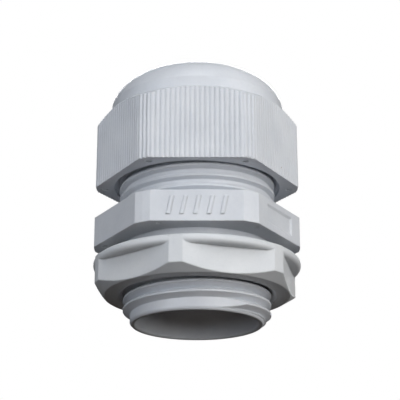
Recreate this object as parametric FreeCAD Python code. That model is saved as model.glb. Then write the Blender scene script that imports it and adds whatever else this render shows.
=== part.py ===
# Nylon cable gland with a ribbed dome nut, a flanged locknut, a clamping claw and a rubber seal.
# Millimetres. Z runs along the gland, from the end face of the entry thread (z = 0) to the dome.
import FreeCAD, Part
import math
import os

# ---- driving sizes ----
cable_r = 12.65            # bore of the relaxed seal
entry_wall = 1.19          # between the entry bore and the thread's root
entry_depth = 1.66
entry_pitch = 2.209
entry_thread_top = 16.30   # where the thread gives way to the plain shank
shank_length = 1.46
hex_land = 4.24            # body hexagon's flats outside the shank
hex_corner_cut = 1.026     # taken off each sharp corner
hex_height = 7.03
tube_length = 14.01        # threaded tube above the body hexagon
tube_wall = 2.00
top_pitch = 2.40
top_depth = 1.00
dome_wall = 3.135          # dome nut's flats outside its thread
dome_corner_cut = 0.849
dome_height = 26.00
ribbed_height = 17.35      # dome nut up to the foot of its smooth dome
nut_engagement = 6.45      # dome nut standing over the tube
lock_land = 4.10           # locknut's flats outside the shank
lock_corner_cut = 0.814
lock_height = 8.00
lock_drop = 1.80           # locknut below the top of the entry thread
seal_wall = 1.55
claw_count = 14

# ---- clearances ----
thread_gap = 0.20          # radial and axial play in each thread
soft_gap = 0.30            # round the rubber pieces
ring_gap = 0.05            # claw ring above the body
hinge_gap = 0.40           # under each claw finger

cable_gap = 1.20           # entry bore round the seal's bore
mouth_gap = 0.25           # dome nut's mouth round the seal's bore
shank_gap = 0.30           # shank over the entry thread's crests
claw_gap = 0.45            # dome nut's wall outside the claw
claw_top_gap = 8.35        # claw's tips below the dome nut's top
gasket_gap = 0.10          # sealing ring above the locknut

# ---- shape details ----
entry_bore_r = cable_r + cable_gap
entry_root_r = entry_bore_r + entry_wall
entry_crest_r = entry_root_r + entry_depth
shank_r = entry_crest_r + shank_gap
seal_collar = 0.40
seat_r = cable_r + seal_wall + seal_collar + soft_gap
top_root_r = seat_r + tube_wall
top_crest_r = top_root_r + top_depth
hex_bottom = entry_thread_top + shank_length
hex_top = hex_bottom + hex_height
tube_top = hex_top + tube_length
dome_bottom = tube_top - nut_engagement
lock_top = entry_thread_top - lock_drop
lock_bottom = lock_top - lock_height
hex_flats = 2 * (shank_r + hex_land)
dome_flats = 2 * (top_crest_r + dome_wall)
lock_flats = 2 * (shank_r + lock_land)
hex_corner_r = hex_flats / 2 / math.cos(math.radians(30)) - hex_corner_cut
dome_corner_r = dome_flats / 2 / math.cos(math.radians(30)) - dome_corner_cut
lock_corner_r = lock_flats / 2 / math.cos(math.radians(30)) - lock_corner_cut
collar_height = 0.50
thread_start = 285.0       # degrees round the axis where the first ridge rises
clear_turn = 225.0         # degrees of thread left off before that
clear_width = 2.15
relief_height = 1.30
entry_crest_width = 0.40
groove_lift = 0.03         # the entry groove stops this far above the collar's radius
entry_flank = 0.545        # groove widening per mm of radius, one side
top_crest_width = 0.55
top_flank = 0.475
hex_corner_half = 4.70     # degrees, each facet of a body corner
mark_count = 5
mark_relief = 0.20
rib_count = 22
rib_depth = 0.26
pin_mark_r = 0.75
pin_mark_depth = 0.25
claw_ring_height = 1.35
claw_wall = 1.50
seat_depth = 8.80
gasket_width = 1.50
gasket_height = 1.10

X = FreeCAD.Vector(1, 0, 0)
Y = FreeCAD.Vector(0, 1, 0)
Z = FreeCAD.Vector(0, 0, 1)
ORIGIN = FreeCAD.Vector(0, 0, 0)


def at(r, z):
    return FreeCAD.Vector(r, 0, z)


def polar(r, angle, z=0.0):
    a = math.radians(angle)
    return FreeCAD.Vector(r * math.cos(a), r * math.sin(a), z)


def tube(r_out, z_low, z_high, r_in=0.0):
    solid = Part.makeCylinder(r_out, z_high - z_low, at(0, z_low))
    if r_in > 0:
        solid = solid.cut(Part.makeCylinder(r_in, z_high - z_low + 2, at(0, z_low - 1)))
    return solid


def turned(points):
    """Solid of revolution about Z from a closed outline of (radius, z) corners."""
    outline = Part.makePolygon([at(r, z) for r, z in points + points[:1]])
    return Part.Face(outline).revolve(ORIGIN, Z, 360)


def turned_edges(edges):
    return Part.Face(Part.Wire(edges)).revolve(ORIGIN, Z, 360)


def prism(corners, z_low, z_high):
    """Upright solid from plan corners."""
    base = [FreeCAD.Vector(p.x, p.y, z_low) for p in corners]
    face = Part.Face(Part.makePolygon(base + base[:1]))
    return face.extrude(Z * (z_high - z_low))


def hexagon(flats, z_low, z_high, turn=0.0):
    r = flats / 2 / math.cos(math.radians(30))
    return prism([polar(r, turn + 60 * k) for k in range(6)], z_low, z_high)


def helical(pitch, turn_share, r_low, r_high, width_low, width_high):
    """Part of a right-hand turn, swept by a trapezium in the radial plane."""
    path = Part.makeHelix(pitch, pitch * turn_share, (r_low + r_high) / 2)
    section = Part.makePolygon([
        at(r_low, -width_low / 2),
        at(r_high, -width_high / 2),
        at(r_high, width_high / 2),
        at(r_low, width_low / 2),
        at(r_low, -width_low / 2),
    ])
    sweep = Part.BRepOffsetAPI.MakePipeShell(Part.Wire(path.Edges))
    sweep.setFrenetMode(True)
    sweep.add(section)
    sweep.build()
    sweep.makeSolid()
    return sweep.shape()


def cut_helix(blank, pitch, z_start, turns, r_low, r_high, width_low, width_high):
    """Blank with a helical groove."""
    groove = helical(pitch, 1, r_low, r_high, width_low, width_high)
    for k in range(turns):
        one_turn = groove.copy()
        one_turn.translate(at(0, z_start + pitch * k))
        blank = blank.cut(one_turn)
    return blank


def cut_outside_thread(blank, pitch, z_start, turns, crest_r, root_r, crest_width, flank):
    """Groove between the ridges of an outside thread."""
    over_r = crest_r + 0.2
    crest_opening = pitch - crest_width
    root_width = crest_opening - 2 * flank * (crest_r - root_r)
    over_width = crest_opening + 2 * flank * (over_r - crest_r)
    return cut_helix(blank, pitch, z_start, turns, root_r, over_r, root_width, over_width)


def cut_inside_thread(blank, pitch, z_start, turns, crest_r, bore_r, crest_width, flank):
    """Groove inside a nut that lets an outside ridge pass with play."""
    deep_r = crest_r + thread_gap
    over_r = bore_r - 0.1
    deep_width = crest_width + 2 * thread_gap - 2 * flank * thread_gap
    over_width = deep_width + 2 * flank * (deep_r - over_r)
    return cut_helix(blank, pitch, z_start, turns, over_r, deep_r, over_width, deep_width)


def groove_inside(outside_start, pitch, low):
    """Start of a nut's groove, half a turn out of step with the outside groove's."""
    turns = math.floor((low - outside_start) / pitch - 1.35)
    return outside_start + (turns + 0.5) * pitch


def save(name, shape):
    shape.exportStep("parts/" + name + ".step")


# ---- gland body ----
# Helix starts put the first full crest at the front of the gland.
entry_groove_start = 1.020 - 2 * entry_pitch
entry_turns = math.ceil((entry_thread_top - entry_groove_start) / entry_pitch)
entry_blank = turned([
    (0, 0),
    (entry_root_r - 0.35, 0),
    (entry_root_r, 0.35),
    (entry_root_r, collar_height),
    (entry_crest_r, collar_height + 0.7),
    (entry_crest_r, entry_thread_top - relief_height),
    (entry_root_r, entry_thread_top - relief_height),
    (entry_root_r, entry_thread_top),
    (0, entry_thread_top),
])
# The blank stops short of the first ridge, which rises from a flat run-in at its start.
ridge_z = entry_groove_start + 2.5 * entry_pitch
clear_from = thread_start - clear_turn
clear_low_r = entry_root_r + 2 * groove_lift
clearing = helical(
    entry_pitch, clear_turn / 360, clear_low_r, entry_crest_r + 0.6,
    clear_width, clear_width)
clearing.rotate(ORIGIN, Z, clear_from)
clearing.translate(at(0, ridge_z + entry_pitch * (clear_from / 360 - 1)))
entry_blank = entry_blank.cut(clearing)
run_in_high = ridge_z + entry_pitch * (thread_start / 360 - 1) + clear_width / 2
run_in = Part.makeBox(10, 16, run_in_high + 1.0, FreeCAD.Vector(clear_low_r, -1.0, -1.0))
run_in.rotate(ORIGIN, Z, thread_start)
entry_blank = entry_blank.cut(run_in)
entry = cut_outside_thread(
    entry_blank, entry_pitch, entry_groove_start, entry_turns, entry_crest_r,
    entry_root_r + groove_lift, entry_crest_width, entry_flank)

top_groove_start = hex_top - 2.99
top_turns = math.ceil((tube_top + top_pitch - top_groove_start) / top_pitch)
top_blank = turned([
    (0, hex_top - 1.0),
    (top_crest_r, hex_top - 1.0),
    (top_crest_r, tube_top - 0.9),
    (top_root_r, tube_top),
    (0, tube_top),
])
top = cut_outside_thread(
    top_blank, top_pitch, top_groove_start, top_turns, top_crest_r, top_root_r,
    top_crest_width, top_flank)

hex_points = []
for k in range(6):
    for side in (-1, 0, 1):
        hex_points.append(polar(hex_corner_r, 60 * k + side * hex_corner_half))
hex_block = prism(hex_points, hex_bottom, hex_top)
hex_block = hex_block.common(hexagon(hex_flats, hex_bottom, hex_top))

# Shallow framed panel on the flat to the right of the front.
panel_half = 6.0
panel_low = hex_bottom + 1.45
panel_high = hex_top - 1.25
panel_depth = 0.35
panel_bevel = 0.45


def panel_wire(distance, inset):
    half = panel_half - inset
    corners = [
        FreeCAD.Vector(distance, -half, panel_low + inset),
        FreeCAD.Vector(distance, half, panel_low + inset),
        FreeCAD.Vector(distance, half, panel_high - inset),
        FreeCAD.Vector(distance, -half, panel_high - inset),
    ]
    return Part.makePolygon(corners + corners[:1])


panel = Part.makeLoft([
    panel_wire(hex_flats / 2 - panel_depth, panel_bevel),
    panel_wire(hex_flats / 2 + panel_depth, -panel_bevel),
], True)
panel.rotate(ORIGIN, Z, -30)
hex_block = hex_block.cut(panel)

# Raised slanting strokes on the front flat, standing for the size marking.
mark_low = hex_bottom + 1.55
mark_high = hex_top - 1.30
for k in range(mark_count):
    x_low = -6.6 + 2.9 * k
    lean = 0.9
    stroke = 0.85
    y_face = -hex_flats / 2
    outline = [
        FreeCAD.Vector(x_low, y_face + 0.3, mark_low),
        FreeCAD.Vector(x_low + stroke, y_face + 0.3, mark_low),
        FreeCAD.Vector(x_low + stroke + lean, y_face + 0.3, mark_high),
        FreeCAD.Vector(x_low + lean, y_face + 0.3, mark_high),
    ]
    bar = Part.Face(Part.makePolygon(outline + outline[:1])).extrude(Y * -(0.3 + mark_relief))
    hex_block = hex_block.fuse(bar)

# Round witness marks under the hexagon.
for k in range(6):
    spot = polar(hex_corner_r - 2.30, 60 * k + 7.5, hex_bottom - 1.0)
    hex_block = hex_block.cut(Part.makeCylinder(pin_mark_r * 0.8, 1.0 + pin_mark_depth, spot))

shank = tube(shank_r, entry_thread_top, hex_bottom + 0.5)
body = entry.fuse(shank).fuse(hex_block).fuse(top)
seat_z = tube_top - seat_depth
bore = turned([
    (0, -1),
    (entry_bore_r + 0.25, -1),
    (entry_bore_r + 0.25, 0),
    (entry_bore_r, 0.3),
    (entry_bore_r, seat_z),
    (seat_r, seat_z),
    (seat_r, tube_top + 1),
    (0, tube_top + 1),
])
body = body.cut(bore).removeSplitter()

# ---- claw: one ring and its fingers, each finger standing on a thin hinge line ----
claw_inner_r = cable_r + seal_wall + soft_gap
claw_outer_r = claw_inner_r + claw_wall
ring_low = tube_top + ring_gap
ring_high = ring_low + claw_ring_height
claw_ring = tube(claw_outer_r + 0.70, ring_low, ring_high, claw_inner_r)
finger_low = ring_high + hinge_gap
finger_high = dome_bottom + dome_height - claw_top_gap
claw_length = finger_high - finger_low
finger_blank = turned([
    (claw_inner_r, finger_low),
    (claw_outer_r, finger_low),
    (claw_outer_r, finger_low + 0.745 * claw_length),
    (claw_outer_r - 0.70, finger_high),
    (claw_inner_r, finger_high),
])
spacing = 360.0 / claw_count
base_half = claw_inner_r * math.tan(math.radians(spacing / 2)) - 0.42
tip_half = base_half - 0.50
sides = [
    FreeCAD.Vector(10, -base_half, finger_low - 0.01),
    FreeCAD.Vector(10, base_half, finger_low - 0.01),
    FreeCAD.Vector(10, tip_half, finger_high + 0.01),
    FreeCAD.Vector(10, -tip_half, finger_high + 0.01),
]
wedge = Part.Face(Part.makePolygon(sides + sides[:1])).extrude(X * 10)
finger = finger_blank.common(wedge)

# ---- rubber seal: sleeve inside the claw, thicker where it sits in the body ----
seal_outer_r = cable_r + seal_wall
seal_low = seat_z + soft_gap
seal_high = finger_high - 0.7
seal = turned([
    (cable_r, seal_low),
    (seal_outer_r + seal_collar, seal_low),
    (seal_outer_r + seal_collar, tube_top - 0.8),
    (seal_outer_r, tube_top - 0.3),
    (seal_outer_r, seal_high - 0.5),
    (seal_outer_r - 0.5, seal_high),
    (cable_r, seal_high),
])

# ---- dome nut ----
dome_shoulder = dome_bottom + ribbed_height
dome_base_r = dome_flats / 2 - 0.695
dome_top = dome_bottom + dome_height
dome_rise = dome_top - dome_shoulder
flat_half = math.sqrt(dome_corner_r ** 2 - (dome_flats / 2) ** 2)
corner_span = 60 - 2 * math.degrees(math.atan2(flat_half, dome_flats / 2))
corner_ribs = 3
flat_ribs = rib_count - corner_ribs


def rib_track():
    """Points round the ribbed outline, alternating valley and crest, for all six flats."""
    track = []
    for k in range(6):
        normal = 30 + 60 * k
        for i in range(2 * flat_ribs):
            along = -flat_half + flat_half * i / flat_ribs
            inset = rib_depth if i % 2 == 0 else 0.0
            centre = polar(dome_flats / 2 - inset, normal)
            track.append(centre + polar(along, normal + 90))
        start = 60 * (k + 1) - corner_span / 2
        for i in range(2 * corner_ribs):
            inset = rib_depth if i % 2 == 0 else 0.0
            track.append(polar(dome_corner_r - inset, start + corner_span * i / (2 * corner_ribs)))
    return track


track = rib_track()
edges = []
for i in range(0, len(track), 2):
    following = track[(i + 2) % len(track)]
    edges.append(Part.Arc(track[i], track[i + 1], following).toShape())
ribbed = Part.Face(Part.Wire(edges)).extrude(Z * (dome_shoulder - dome_bottom))
ribbed.translate(at(0, dome_bottom))
chamfer_low = dome_shoulder - 2.10
envelope = turned([
    (0, dome_bottom),
    (dome_corner_r - 0.25, dome_bottom),
    (dome_corner_r + 0.05, dome_bottom + 0.3),
    (dome_corner_r + 0.05, chamfer_low),
    (dome_base_r - 0.02, dome_shoulder),
    (0, dome_shoulder),
])
ribbed = ribbed.common(envelope)

mouth_top_r = cable_r + mouth_gap
side_top = at(dome_base_r - 0.22, dome_shoulder + 0.277 * dome_rise)
lip_foot = at(mouth_top_r + 1.10, dome_top - 0.11)
dome_side = Part.LineSegment(at(dome_base_r - 0.25, dome_shoulder), side_top)
dome_curve = Part.Arc(side_top, at(dome_base_r - 2.24, dome_shoulder + 0.697 * dome_rise), lip_foot)
lip_curve = Part.Arc(lip_foot, at(mouth_top_r + 0.25, dome_top - 0.15), at(mouth_top_r, dome_top - 0.80))
dome_edges = [
    Part.LineSegment(at(0, dome_shoulder - 1), at(dome_base_r - 0.25, dome_shoulder - 1)).toShape(),
    Part.LineSegment(at(dome_base_r - 0.25, dome_shoulder - 1),
                     at(dome_base_r - 0.25, dome_shoulder)).toShape(),
    dome_side.toShape(),
    dome_curve.toShape(),
    lip_curve.toShape(),
    Part.LineSegment(at(mouth_top_r, dome_top - 0.80), at(0, dome_top - 0.80)).toShape(),
    Part.LineSegment(at(0, dome_top - 0.80), at(0, dome_shoulder - 1)).toShape(),
]
dome_solid = turned_edges(dome_edges)

nut_bore_r = top_root_r + thread_gap
nut_relief_high = finger_high - 3.7
nut_relief_low = nut_relief_high - 2.60
nut_relief_r = top_crest_r + thread_gap + 0.15
nut_mouth_r = top_crest_r + 1.17
cavity = turned([
    (0, dome_bottom - 1),
    (nut_mouth_r, dome_bottom - 1),
    (nut_mouth_r, dome_bottom + 0.6),
    (nut_bore_r, dome_bottom + 2.3),
    (nut_bore_r, nut_relief_low),
    (nut_relief_r, nut_relief_low),
    (nut_relief_r, nut_relief_high),
    (nut_bore_r, nut_relief_high),
    (claw_outer_r + claw_gap, finger_high - 2.4),
    (claw_outer_r + claw_gap - 0.20, finger_high - 1.9),
    (mouth_top_r + 0.45, dome_top - 2.75),
    (mouth_top_r, dome_top - 1.75),
    (mouth_top_r, dome_top + 1),
    (0, dome_top + 1),
])
nut_groove_start = groove_inside(top_groove_start, top_pitch, dome_bottom)
nut_turns = math.ceil((nut_relief_low + 0.8 - nut_groove_start) / top_pitch)
dome_nut = ribbed.fuse(dome_solid).cut(cavity)
dome_nut = cut_inside_thread(
    dome_nut, top_pitch, nut_groove_start, nut_turns, top_crest_r, nut_bore_r,
    top_crest_width, top_flank)
for k in range(6):
    spot = polar(dome_corner_r - 2.14, 60 * k, dome_bottom - 1.0)
    dome_nut = dome_nut.cut(Part.makeCylinder(pin_mark_r, 1.0 + pin_mark_depth, spot))

# ---- locknut ----
lock_turn = 19.0                        # corners sit off the body's corners
flange_height = 2.10
bottom_slope = math.tan(math.radians(31.5))
lock_chamfer_r = lock_flats / 2 - 0.15
lock_hex = hexagon(lock_flats, lock_bottom, lock_top - 0.3, lock_turn)
lock_hex = lock_hex.common(turned([
    (0, lock_bottom),
    (lock_chamfer_r, lock_bottom),
    (lock_corner_r, lock_bottom + (lock_corner_r - lock_chamfer_r) * bottom_slope),
    (lock_corner_r, lock_top - 0.3),
    (0, lock_top - 0.3),
]))
flange_low = lock_top - flange_height
rim = 0.95
flange = turned_edges([
    Part.LineSegment(at(0, flange_low), at(lock_corner_r - rim, flange_low)).toShape(),
    Part.Arc(at(lock_corner_r - rim, flange_low),
             at(lock_corner_r - rim + rim * 0.7071, flange_low + rim * (1 - 0.7071)),
             at(lock_corner_r, flange_low + rim)).toShape(),
    Part.LineSegment(at(lock_corner_r, flange_low + rim), at(lock_corner_r, lock_top - rim)).toShape(),
    Part.Arc(at(lock_corner_r, lock_top - rim),
             at(lock_corner_r - rim + rim * 0.7071, lock_top - rim * (1 - 0.7071)),
             at(lock_corner_r - rim, lock_top)).toShape(),
    Part.LineSegment(at(lock_corner_r - rim, lock_top), at(0, lock_top)).toShape(),
    Part.LineSegment(at(0, lock_top), at(0, flange_low)).toShape(),
])
lock_bore_r = entry_root_r + 0.56
lock_bore = turned([
    (0, lock_bottom - 1),
    (lock_bore_r + 2.4, lock_bottom - 1),
    (lock_bore_r + 2.4, lock_bottom),
    (lock_bore_r + 1.6, lock_bottom + 0.5),
    (lock_bore_r, lock_bottom + 1.5),
    (lock_bore_r, lock_top - 1.2),
    (lock_bore_r + 1.15, lock_top),
    (lock_bore_r + 1.15, lock_top + 1),
    (0, lock_top + 1),
])
lock_groove_start = groove_inside(entry_groove_start, entry_pitch, lock_bottom)
lock_turns = math.ceil((lock_top + entry_pitch - lock_groove_start) / entry_pitch)
locknut = lock_hex.fuse(flange).cut(lock_bore)
locknut = cut_inside_thread(
    locknut, entry_pitch, lock_groove_start, lock_turns, entry_crest_r, lock_bore_r,
    entry_crest_width, entry_flank)

# ---- flat rubber sealing ring, lying on the locknut's flange ----
gasket_low = lock_top + gasket_gap
gasket_r = shank_r + soft_gap
gasket = tube(gasket_r + gasket_width, gasket_low, gasket_low + gasket_height, gasket_r)

os.makedirs("parts", exist_ok=True)
save("gland_body", body)
save("dome_nut", dome_nut)
save("locknut", locknut)
save("claw_ring", claw_ring)
save("seal_insert", seal)
save("entry_gasket", gasket)
for k in range(claw_count):
    placed = finger.copy()
    placed.rotate(ORIGIN, Z, spacing * k)
    save("claw_finger_%02d" % (k + 1), placed)
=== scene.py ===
import bpy
import bmesh
import math
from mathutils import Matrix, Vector


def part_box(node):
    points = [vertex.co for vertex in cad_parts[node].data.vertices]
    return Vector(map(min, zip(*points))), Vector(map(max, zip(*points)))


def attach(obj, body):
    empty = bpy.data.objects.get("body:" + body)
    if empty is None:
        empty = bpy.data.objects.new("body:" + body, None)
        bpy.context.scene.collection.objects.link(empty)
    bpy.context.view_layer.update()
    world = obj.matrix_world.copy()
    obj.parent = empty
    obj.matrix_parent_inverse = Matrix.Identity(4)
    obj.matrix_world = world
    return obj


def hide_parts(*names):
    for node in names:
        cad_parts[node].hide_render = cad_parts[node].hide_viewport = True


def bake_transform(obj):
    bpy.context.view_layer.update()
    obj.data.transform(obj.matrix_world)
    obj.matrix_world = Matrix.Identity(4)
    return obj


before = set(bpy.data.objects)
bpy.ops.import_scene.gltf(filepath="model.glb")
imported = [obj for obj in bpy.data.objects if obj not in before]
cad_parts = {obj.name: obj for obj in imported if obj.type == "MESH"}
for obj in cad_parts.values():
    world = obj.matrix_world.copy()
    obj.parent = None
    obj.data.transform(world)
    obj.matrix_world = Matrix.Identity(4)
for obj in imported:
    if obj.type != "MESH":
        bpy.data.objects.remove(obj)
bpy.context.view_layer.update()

MM = 0.001
CLAW_COUNT = 14
TURN_STEPS = 96             # facets round each lathe-turned ring


# ---------------------------------------------------------------- materials
class Nodes:
    """Short hand for building one node material."""

    def __init__(self, name):
        self.material = bpy.data.materials.new(name)
        self.material.use_nodes = True
        self.tree = self.material.node_tree
        self.shader = self.tree.nodes["Principled BSDF"]
        self.output = self.tree.nodes["Material Output"]
        self.place = self.add("ShaderNodeTexCoord").outputs["Object"]

    def add(self, kind, **values):
        node = self.tree.nodes.new(kind)
        for key, value in values.items():
            setattr(node, key, value)
        return node

    def link(self, source, target):
        self.tree.links.new(source, target)

    def noise(self, scale, detail=2.0, roughness=0.5):
        node = self.add("ShaderNodeTexNoise")
        node.inputs["Scale"].default_value = scale
        node.inputs["Detail"].default_value = detail
        node.inputs["Roughness"].default_value = roughness
        self.link(self.place, node.inputs["Vector"])
        return node.outputs["Fac"]

    def spread(self, source, low, high, start=0.3, end=0.7):
        node = self.add("ShaderNodeMapRange")
        node.inputs["From Min"].default_value = start
        node.inputs["From Max"].default_value = end
        node.inputs["To Min"].default_value = low
        node.inputs["To Max"].default_value = high
        self.link(source, node.inputs["Value"])
        return node.outputs["Result"]

    def blend(self, factor, a, b):
        node = self.add("ShaderNodeMix", data_type="RGBA")
        if isinstance(factor, float):
            node.inputs["Factor"].default_value = factor
        else:
            self.link(factor, node.inputs["Factor"])
        for value, target in ((a, node.inputs["A"]), (b, node.inputs["B"])):
            if isinstance(value, tuple):
                target.default_value = value
            else:
                self.link(value, target)
        return node.outputs["Result"]

    def maths(self, operation, a, b):
        node = self.add("ShaderNodeMath", operation=operation)
        for value, target in ((a, node.inputs[0]), (b, node.inputs[1])):
            if isinstance(value, float):
                target.default_value = value
            else:
                self.link(value, target)
        return node.outputs["Value"]

    def specks(self, per_metre, size, share):
        """1 inside sparse small spots, 0 elsewhere."""
        cells = self.add("ShaderNodeTexVoronoi")
        cells.inputs["Scale"].default_value = per_metre
        self.link(self.place, cells.inputs["Vector"])
        near = self.maths("LESS_THAN", cells.outputs["Distance"], size * per_metre)
        split = self.add("ShaderNodeSeparateColor")
        self.link(cells.outputs["Color"], split.inputs["Color"])
        kept = self.maths("LESS_THAN", split.outputs["Red"], share)
        return self.maths("MULTIPLY", near, kept)


def moulded_nylon(name, colour, rough, grain, grain_scale, edge):
    """Satin moulded plastic: slight tone drift, fine eroded grain, rounded edges, odd specks."""
    m = Nodes(name)
    r, g, b = colour
    light = (min(r * 1.05, 1), min(g * 1.045, 1), min(b * 1.04, 1), 1)
    dark = (r * 0.94, g * 0.945, b * 0.955, 1)
    tone = m.blend(m.spread(m.noise(95.0, 3.0), 0.0, 1.0), dark, light)
    mottle = m.spread(m.noise(1400.0, 2.0, 0.6), 0.0, 0.16, 0.45, 0.75)
    tone = m.blend(mottle, tone, (r * 0.80, g * 0.81, b * 0.83, 1))
    tone = m.blend(m.specks(70.0, 0.00020, 0.26), tone, (0.11, 0.09, 0.07, 1))
    tone = m.blend(m.specks(115.0, 0.00016, 0.30), tone, (0.27, 0.22, 0.16, 1))
    m.link(tone, m.shader.inputs["Base Color"])
    gloss = m.maths("ADD", m.spread(m.noise(160.0, 3.0), -0.05, 0.05),
                    m.spread(m.noise(2100.0, 2.0), rough - 0.04, rough + 0.05))
    m.link(gloss, m.shader.inputs["Roughness"])
    round_edge = m.add("ShaderNodeBevel", samples=4)
    round_edge.inputs["Radius"].default_value = edge
    wave = m.add("ShaderNodeBump")
    wave.inputs["Strength"].default_value = 0.10
    wave.inputs["Distance"].default_value = 0.0002
    m.link(m.noise(260.0, 2.0), wave.inputs["Height"])
    m.link(round_edge.outputs["Normal"], wave.inputs["Normal"])
    fine = m.add("ShaderNodeBump")
    fine.inputs["Strength"].default_value = grain
    fine.inputs["Distance"].default_value = 0.00004
    m.link(m.noise(grain_scale, 3.0, 0.65), fine.inputs["Height"])
    m.link(wave.outputs["Normal"], fine.inputs["Normal"])
    m.link(fine.outputs["Normal"], m.shader.inputs["Normal"])
    m.shader.inputs["IOR"].default_value = 1.50
    m.shader.inputs["Specular IOR Level"].default_value = 0.42
    m.shader.inputs["Subsurface Weight"].default_value = 0.06
    m.shader.inputs["Subsurface Radius"].default_value = (0.0012, 0.0010, 0.0008)
    m.shader.inputs["Subsurface Scale"].default_value = 1.0
    return m.material


def soft_rubber(name, colour):
    """Matt black rubber with a dusty bloom and a faint moulding grain."""
    m = Nodes(name)
    r, g, b = colour
    bloom = m.spread(m.noise(420.0, 4.0, 0.65), 0.0, 1.0, 0.42, 0.72)
    tone = m.blend(bloom, (r, g, b, 1), (r * 2.1, g * 2.1, b * 2.0, 1))
    m.link(tone, m.shader.inputs["Base Color"])
    m.link(m.spread(m.noise(900.0, 2.0), 0.58, 0.78), m.shader.inputs["Roughness"])
    fine = m.add("ShaderNodeBump")
    fine.inputs["Strength"].default_value = 0.22
    fine.inputs["Distance"].default_value = 0.00005
    m.link(m.noise(5200.0, 3.0, 0.6), fine.inputs["Height"])
    m.link(fine.outputs["Normal"], m.shader.inputs["Normal"])
    m.shader.inputs["IOR"].default_value = 1.50
    m.shader.inputs["Specular IOR Level"].default_value = 0.35
    return m.material


GREY = (0.595, 0.618, 0.655)
body_nylon = moulded_nylon("body_nylon", GREY, 0.42, 0.16, 3600.0, 0.00035)
dome_nylon = moulded_nylon("dome_nylon", GREY, 0.36, 0.12, 3600.0, 0.00022)
lock_nylon = moulded_nylon("lock_nylon", (0.59, 0.61, 0.63), 0.46, 0.42, 2600.0, 0.00045)
claw_nylon = moulded_nylon("claw_nylon", (0.50, 0.52, 0.54), 0.44, 0.16, 3600.0, 0.00020)
rubber = soft_rubber("seal_rubber", (0.018, 0.018, 0.020))


def paint(node_name, material):
    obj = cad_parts[node_name]
    obj.data.materials.clear()
    obj.data.materials.append(material)


paint("gland_body", body_nylon)
paint("dome_nut", dome_nylon)
paint("locknut", lock_nylon)
paint("claw_ring", claw_nylon)
for k in range(CLAW_COUNT):
    paint("claw_finger_%02d" % (k + 1), claw_nylon)


# ---------------------------------------------------------------- rubber pieces
def lathe(name, outline, steps):
    """Closed ring turned from (radius, z) points."""
    mesh = bpy.data.meshes.new(name)
    bm = bmesh.new()
    rings = []
    for s in range(steps):
        a = 2 * math.pi * s / steps
        ring = []
        for r, z in outline:
            ring.append(bm.verts.new((r * math.cos(a), r * math.sin(a), z)))
        rings.append(ring)
    count = len(outline)
    for s in range(steps):
        here, there = rings[s], rings[(s + 1) % steps]
        for i in range(count):
            j = (i + 1) % count
            face = bm.faces.new((here[i], there[i], there[j], here[j]))
            face.smooth = True
    bmesh.ops.recalc_face_normals(bm, faces=bm.faces)
    bm.to_mesh(mesh)
    bm.free()
    obj = bpy.data.objects.new(name, mesh)
    bpy.context.scene.collection.objects.link(obj)
    return obj


def rounded(corners, radius, per_corner=4):
    """Outline with each corner replaced by a short curve."""
    out = []
    count = len(corners)
    for i in range(count):
        before = Vector(corners[i - 1])
        here = Vector(corners[i])
        after = Vector(corners[(i + 1) % count])
        back = min(radius, (before - here).length * 0.45)
        ahead = min(radius, (after - here).length * 0.45)
        start = here + (before - here).normalized() * back
        end = here + (after - here).normalized() * ahead
        for k in range(per_corner + 1):
            t = k / per_corner
            p = start.lerp(here, t).lerp(here.lerp(end, t), t)
            out.append((p.x, p.y))
    return out


seal_low, seal_high = (corner.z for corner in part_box("seal_insert"))
seal_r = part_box("seal_insert")[1].x
seal_thickness = 1.95 * MM
collar_step = 0.40 * MM
collar_below_top = 11.15 * MM
end_bevel = 0.5 * MM
inner = seal_r - seal_thickness
slim_r = seal_r - collar_step
step_z = seal_high - collar_below_top
seal_corners = [
    (inner, seal_low),
    (seal_r, seal_low),
    (seal_r, step_z),
    (slim_r, step_z + end_bevel),
    (slim_r, seal_high - end_bevel),
    (slim_r - end_bevel, seal_high),
    (inner, seal_high),
]
seal_outline = rounded(seal_corners, 0.35 * MM)

# Shallow grip rings down the bore.
grip_pitch = 1.1 * MM
grip_depth = 0.10 * MM
grip_end = 0.4 * MM
bore_steps = 64
for k in range(1, bore_steps):
    z = seal_high - grip_end - (seal_high - seal_low - 2 * grip_end) * k / bore_steps
    swell = grip_depth * (0.5 - 0.5 * math.cos(2 * math.pi * (seal_high - z) / grip_pitch))
    seal_outline.append((inner + swell, z))
seal = lathe("seal_rubber_sleeve", seal_outline, TURN_STEPS)
seal.data.materials.append(rubber)
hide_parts("seal_insert")
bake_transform(seal)

ring_low, ring_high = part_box("entry_gasket")
ring_r = ring_high.x
thick = ring_high.z - ring_low.z
ring_inner = ring_r - 1.5 * MM
ring_corners = [
    (ring_inner, ring_low.z),
    (ring_r, ring_low.z),
    (ring_r, ring_high.z),
    (ring_inner, ring_high.z),
]
ring_rounding = thick * 0.32
gasket = lathe("entry_sealing_ring", rounded(ring_corners, ring_rounding), TURN_STEPS)
gasket.data.materials.append(rubber)
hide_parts("entry_gasket")
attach(gasket, "gasket")

# ---------------------------------------------------------------- floor, light, camera
floor_mesh = bpy.data.meshes.new("floor")
half = 1.6
below_part = 0.03 * MM
fade_start = 0.10
fade_end = 0.42
floor_mesh.from_pydata(
    [(-half, -half, 0), (half, -half, 0), (half, half, 0), (-half, half, 0)], [], [(0, 1, 2, 3)])
floor = bpy.data.objects.new("floor", floor_mesh)
bpy.context.scene.collection.objects.link(floor)
floor.location.z = -below_part
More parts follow.
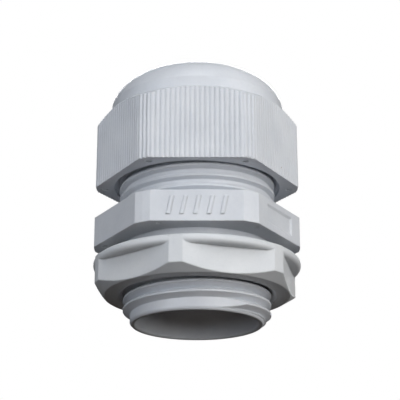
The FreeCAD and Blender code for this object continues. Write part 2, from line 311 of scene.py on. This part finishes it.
# The camera looks up from below the gland's end, so the floor shows from above only, and it
# fades into the white surroundings away from the part.
f = Nodes("pale_floor")
f.shader.inputs["Roughness"].default_value = 0.85
f.shader.inputs["Specular IOR Level"].default_value = 0.2
f.link(f.blend(f.spread(f.noise(30.0, 3.0), 0.0, 1.0), (0.80, 0.80, 0.80, 1), (0.84, 0.84, 0.84, 1)),
       f.shader.inputs["Base Color"])
side = f.add("ShaderNodeNewGeometry").outputs["Backfacing"]
seen = f.add("ShaderNodeLightPath").outputs["Is Camera Ray"]
distance = f.add("ShaderNodeVectorMath", operation="LENGTH")
f.link(f.place, distance.inputs[0])
fade = f.spread(distance.outputs["Value"], 1.0, 0.0, fade_start, fade_end)
shown = f.maths("MULTIPLY", fade, f.maths("MULTIPLY", seen, f.maths("SUBTRACT", 1.0, side)))
clear = f.add("ShaderNodeBsdfTransparent")
choose = f.add("ShaderNodeMixShader")
f.link(shown, choose.inputs["Fac"])
f.link(clear.outputs["BSDF"], choose.inputs[1])
f.link(f.shader.outputs["BSDF"], choose.inputs[2])
f.link(choose.outputs["Shader"], f.output.inputs["Surface"])
floor_mesh.materials.append(f.material)

world = bpy.data.worlds.new("studio")
bpy.context.scene.world = world
world.use_nodes = True
w = world.node_tree
w.nodes.clear()
sky = w.nodes.new("ShaderNodeTexCoord")
split = w.nodes.new("ShaderNodeSeparateXYZ")
w.links.new(sky.outputs["Generated"], split.inputs["Vector"])
ramp = w.nodes.new("ShaderNodeMapRange")
ramp.inputs["From Min"].default_value = -0.6
ramp.inputs["From Max"].default_value = 0.8
ramp.inputs["To Min"].default_value = 0.0
ramp.inputs["To Max"].default_value = 0.06
w.links.new(split.outputs["Z"], ramp.inputs["Value"])
ambient = w.nodes.new("ShaderNodeBackground")
ambient.inputs["Color"].default_value = (1.0, 0.90, 0.84, 1)
w.links.new(ramp.outputs["Result"], ambient.inputs["Strength"])
white = w.nodes.new("ShaderNodeBackground")
white.inputs["Color"].default_value = (1, 1, 1, 1)
white.inputs["Strength"].default_value = 1.0
ray = w.nodes.new("ShaderNodeLightPath")
pick = w.nodes.new("ShaderNodeMixShader")
w.links.new(ray.outputs["Is Camera Ray"], pick.inputs["Fac"])
w.links.new(ambient.outputs["Background"], pick.inputs[1])
w.links.new(white.outputs["Background"], pick.inputs[2])
w_out = w.nodes.new("ShaderNodeOutputWorld")
w.links.new(pick.outputs["Shader"], w_out.inputs["Surface"])

target = Vector((0, 0, 30 * MM))
BOX_SIZE = 0.45


def softbox(name, place, power, colour=(1, 1, 1)):
    """Square area light aimed at the middle of the part."""
    light = bpy.data.lights.new(name, "AREA")
    light.shape = "SQUARE"
    light.size = BOX_SIZE
    light.energy = power
    light.color = colour
    obj = bpy.data.objects.new(name, light)
    bpy.context.scene.collection.objects.link(obj)
    obj.location = place
    obj.rotation_euler = (target - Vector(place)).to_track_quat("-Z", "Y").to_euler()


softbox("front_left", (-0.50, -0.62, 0.09), 3.0, (0.90, 0.94, 1.0))
softbox("front_right", (0.50, -0.62, 0.09), 3.7, (1.0, 0.99, 0.97))
softbox("right", (0.80, -0.10, 0.05), 1.8)
softbox("top_front", (0.00, -0.50, 0.65), 2.8, (0.96, 0.98, 1.0))
softbox("from_below", (0.00, -0.50, -0.60), 0.35, (1.0, 0.84, 0.72))
softbox("back", (0.00, 0.70, 0.40), 6.0)

camera = bpy.data.objects.new("camera", bpy.data.cameras.new("camera"))
bpy.context.scene.collection.objects.link(camera)
looking_up = 19.06           # degrees above the level
camera.location = (0.673 * MM, -284.9 * MM, -68.68 * MM)
camera.rotation_euler = (math.radians(90 + looking_up), 0, 0)
camera.data.lens = 117.17
camera.data.sensor_width = 36.0
bpy.context.scene.camera = camera
bpy.context.scene.view_settings.view_transform = "Standard"
